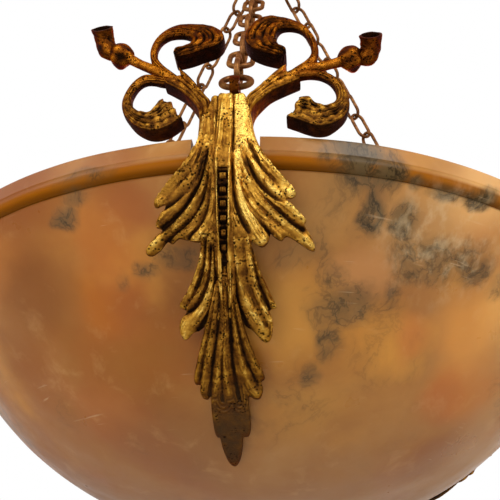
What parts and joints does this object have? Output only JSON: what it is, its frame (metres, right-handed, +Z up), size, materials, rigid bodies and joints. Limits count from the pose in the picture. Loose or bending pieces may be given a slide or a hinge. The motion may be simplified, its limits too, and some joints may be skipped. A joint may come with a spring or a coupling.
{
  "type": "alabaster pendant light",
  "caption": "Hanging ceiling light: turned alabaster bowl held at its rim by cast bronze leaf and scroll mounts on chains that meet at a crown under a ceiling canopy.",
  "frame": {"origin": "centre of the two ceiling screw slots, on the ceiling plane", "axes": "+Z up into the ceiling, so the light hangs below; -Y towards the front leaf mount; +X to the right seen from the front"},
  "size_m": [0.3905, 0.3887, 0.546],
  "materials": {
    "alabaster": "honed and waxed, amber stained with grey veins",
    "cast_bronze": "cast, gilded and rubbed back, dark in the hollows",
    "chain_bronze": "dark patinated",
    "canopy_bronze": "spun or turned, patinated satin",
    "turned_brass": "plain turned and unlacquered",
    "steel": "zinc plated",
    "leather": "plain vegetable tanned",
    "porcelain": "white glazed",
    "bulb_cap_metal": "rolled thread",
    "bulb_glass": "soft white coated",
    "filament": "glass stem with coated filament sticks"
  },
  "bodies": {
    "ceiling": {"crossbar": "steel", "canopy": "canopy_bronze", "threaded_tube": "turned_brass", "tube_locknut": "turned_brass", "hook_loop": "canopy_bronze"},
    "shackle": {"shackle": "chain_bronze"},
    "pendant": {"crown": "canopy_bronze", "crown_eye": "canopy_bronze", "crown_nut": "canopy_bronze", "chain_front": "chain_bronze", "chain_right": "chain_bronze", "chain_left": "chain_bronze", "mount_ring_front": "chain_bronze", "mount_ring_right": "chain_bronze", "mount_ring_left": "chain_bronze", "leaf_mount_front": "cast_bronze", "leaf_mount_right": "cast_bronze", "leaf_mount_left": "cast_bronze", "mount_screws": "chain_bronze", "mount_nuts": "turned_brass", "steel_washers": "steel", "leather_washers": "leather", "leather_buffers": "leather", "buffer_rivets": "chain_bronze", "alabaster_bowl": "alabaster", "lamp_bridge": "turned_brass", "bridge_nut": "turned_brass", "cluster_tube": "turned_brass", "cluster_body": "turned_brass", "cluster_cap": "turned_brass", "holder_nipples": "turned_brass", "holder_shell_1": "turned_brass", "holder_shell_2": "turned_brass", "holder_shell_3": "turned_brass", "holder_core_1": "porcelain", "holder_core_2": "porcelain", "holder_core_3": "porcelain", "socket_sleeves": "turned_brass", "socket_contacts": "turned_brass"},
    "bulb_1_lift": {"bulb_tip_1": "steel"},
    "bulb_1": {"bulb_cap_1": "bulb_cap_metal", "bulb_glass_1": "bulb_glass", "bulb_filament_1": "filament"},
    "bulb_2_lift": {"bulb_tip_2": "steel"},
    "bulb_2": {"bulb_cap_2": "bulb_cap_metal", "bulb_glass_2": "bulb_glass", "bulb_filament_2": "filament"},
    "bulb_3_lift": {"bulb_tip_3": "steel"},
    "bulb_3": {"bulb_cap_3": "bulb_cap_metal", "bulb_glass_3": "bulb_glass", "bulb_filament_3": "filament"}
  },
  "joints": [
    {"name": "shackle_swing", "type": "hinge", "parent": "ceiling", "child": "shackle", "pos_m": [0, 0, -0.0695], "axis": [1, 0, 0], "range_deg": [-15, 15]},
    {"name": "pendant_swing", "type": "hinge", "parent": "shackle", "child": "pendant", "pos_m": [0, 0, -0.08695], "axis": [0, 1, 0], "range_deg": [-15, 15]},
    {"name": "bulb_1_lift", "type": "slide", "parent": "pendant", "child": "bulb_1_lift", "axis": [0, 1, 0], "range_m": [0, 0.0085]},
    {"name": "bulb_1_turn", "type": "hinge", "parent": "bulb_1_lift", "child": "bulb_1", "pos_m": [0, 0, -0.47299], "axis": [0, 1, 0], "range_deg": [0, 1080]},
    {"name": "bulb_2_lift", "type": "slide", "parent": "pendant", "child": "bulb_2_lift", "axis": [-0.866, -0.5, 0], "range_m": [0, 0.0085]},
    {"name": "bulb_2_turn", "type": "hinge", "parent": "bulb_2_lift", "child": "bulb_2", "pos_m": [0, 0, -0.47299], "axis": [-0.866, -0.5, 0], "range_deg": [0, 1080]},
    {"name": "bulb_3_lift", "type": "slide", "parent": "pendant", "child": "bulb_3_lift", "axis": [0.866, -0.5, 0], "range_m": [0, 0.0085]},
    {"name": "bulb_3_turn", "type": "hinge", "parent": "bulb_3_lift", "child": "bulb_3", "pos_m": [0, 0, -0.47299], "axis": [0.866, -0.5, 0], "range_deg": [0, 1080]}
  ],
  "couplings": [
    {"joint": "bulb_1_lift", "follows": "bulb_1_turn", "m_per_rad": 0.00044882},
    {"joint": "bulb_2_lift", "follows": "bulb_2_turn", "m_per_rad": 0.00044882},
    {"joint": "bulb_3_lift", "follows": "bulb_3_turn", "m_per_rad": 0.00044882}
  ]
}
